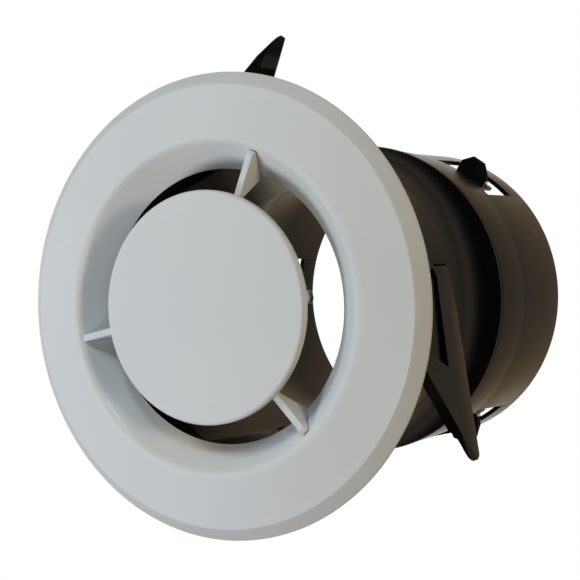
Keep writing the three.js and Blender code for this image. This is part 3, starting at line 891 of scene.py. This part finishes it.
# Each lamp stands in a direction from the part's middle, given as shares of towards the camera,
# aside to its right and aloft. Distance and size are in metres, power in watts, and mirrored says
# whether the lamp's own shape may show in the sheen.
lampLooks = {
    "upperLeftLamp": {"toward": 0.32, "aside": -0.72, "aloft": 0.55, "distance": 0.8, "size": 0.2,
                      "power": 2.28, "colour": "#F8FFFA", "mirrored": False},
    "lowerLeftLamp": {"toward": 0.32, "aside": -0.72, "aloft": -0.55, "distance": 0.8, "size": 0.2,
                      "power": 3.0, "colour": "#EEF2FF", "mirrored": False},
    "topLamp": {"toward": 1, "aside": -0.25, "aloft": 0.8, "distance": 1.2, "size": 0.16,
                "power": 2.3, "colour": "#CDE3FF", "mirrored": True},
    "frontLamp": {"toward": 1, "aside": -0.2, "aloft": -0.3, "distance": 0.9, "size": 0.25,
                  "power": 0.7, "colour": "#FFFFEE", "mirrored": True},
    "warmRightLamp": {"toward": 1, "aside": 0.75, "aloft": 0.15, "distance": 1.3, "size": 0.2,
                      "power": 4.7, "colour": "#FFE5B5", "mirrored": False}}
middle = Vector((0, 0, 0.06))
for name, look in lampLooks.items():
    lampData = bpy.data.lights.new(name, "AREA")
    lampData.shape = "SQUARE"
    lampData.size = look["size"]
    lampData.energy = look["power"]
    lampData.color = linear(look["colour"])[:3]
    direction = toward * look["toward"] + aside * look["aside"] + aloft * look["aloft"]
    lamp = bpy.data.objects.new(name, lampData)
    lamp.location = middle + direction.normalized() * look["distance"]
    lamp.rotation_euler = (middle - lamp.location).to_track_quat("-Z", "Y").to_euler()
    lamp.visible_glossy = look["mirrored"]
    scene.collection.objects.link(lamp)

floorLook = {"half": 4.0, "z": -1.6, "colour": "#E9E8E4", "roughLow": 0.7, "roughHigh": 0.95}


def floorMaterial():
    # matt painted studio floor: almost even, with very soft mottling
    material = newMaterial("mattPaintedFloor")
    place = addNode(material, "ShaderNodeTexCoord").outputs["Object"]
    mottle = addNode(material, "ShaderNodeTexNoise", {"Scale": 2.0, "Detail": 3.0},
                     {"Vector": place}).outputs["Fac"]
    gloss = addNode(material, "ShaderNodeMapRange",
                    {"To Min": floorLook["roughLow"], "To Max": floorLook["roughHigh"]}, {"Value": mottle})
    surface = addNode(material, "ShaderNodeBsdfPrincipled",
                      {"Base Color": linear(floorLook["colour"])},
                      {"Roughness": gloss.outputs["Result"]})
    addNode(material, "ShaderNodeOutputMaterial", {}, {"Surface": surface.outputs["BSDF"]})
    return material


half, level = floorLook["half"], floorLook["z"]
floorMesh = bpy.data.meshes.new("studioFloor")
corners = [(-half, -half, level), (half, -half, level), (half, half, level), (-half, half, level)]
floorMesh.from_pydata(corners, [], [(0, 1, 2, 3)])
floorMesh.materials.append(floorMaterial())
floor = bpy.data.objects.new("studioFloor", floorMesh)
floor.visible_glossy = False
floor.visible_diffuse = False
scene.collection.objects.link(floor)

# The surround by how far ahead of the camera it lies, from -1 behind it to 1 straight ahead:
# a white sheet behind the part, a dim warm room around it, and darkness behind the camera.
worldTones = [
    (-0.3, "#000000"), (-0.05, "#3F3F45"), (0.2, "#9C9186"), (0.33, "#9C9186"), (0.44, "#595549"),
    (0.57, "#797669"), (0.72, "#897662"), (0.86, "#AC936F"), (0.94, "#ECE6DB"), (1.0, "#FFFFFB")]
world = bpy.data.worlds.new("paleStudio")
world.use_nodes = True
world.node_tree.nodes.clear()
heading = addNode(world, "ShaderNodeTexCoord").outputs["Generated"]
facing = addNode(world, "ShaderNodeVectorMath", {"operation": "DOT_PRODUCT"}, {0: heading})
facing.inputs[1].default_value = tuple(-v for v in cameraLook["back"])
spread = addNode(world, "ShaderNodeMapRange", {"From Min": -1.0, "From Max": 1.0},
                 {"Value": facing.outputs["Value"]}).outputs["Result"]
shade = addNode(world, "ShaderNodeValToRGB", {}, {"Fac": spread})
stops = shade.color_ramp.elements
while len(stops) < len(worldTones):
    stops.new(0.5)
for stop, (ahead, tone) in zip(stops, worldTones):
    stop.position = (1 + ahead) / 2
    stop.color = linear(tone)
surround = addNode(world, "ShaderNodeBackground", {"Strength": 1.0}, {"Color": shade.outputs["Color"]})
backdrop = addNode(world, "ShaderNodeBackground", {"Color": (1, 1, 1, 1), "Strength": 1.0})
seen = addNode(world, "ShaderNodeLightPath").outputs["Is Camera Ray"]
both = addNode(world, "ShaderNodeMixShader", {},
               {0: seen, 1: surround.outputs[0], 2: backdrop.outputs[0]})
addNode(world, "ShaderNodeOutputWorld", {}, {"Surface": both.outputs[0]})
scene.world = world
print("camera and studio made")
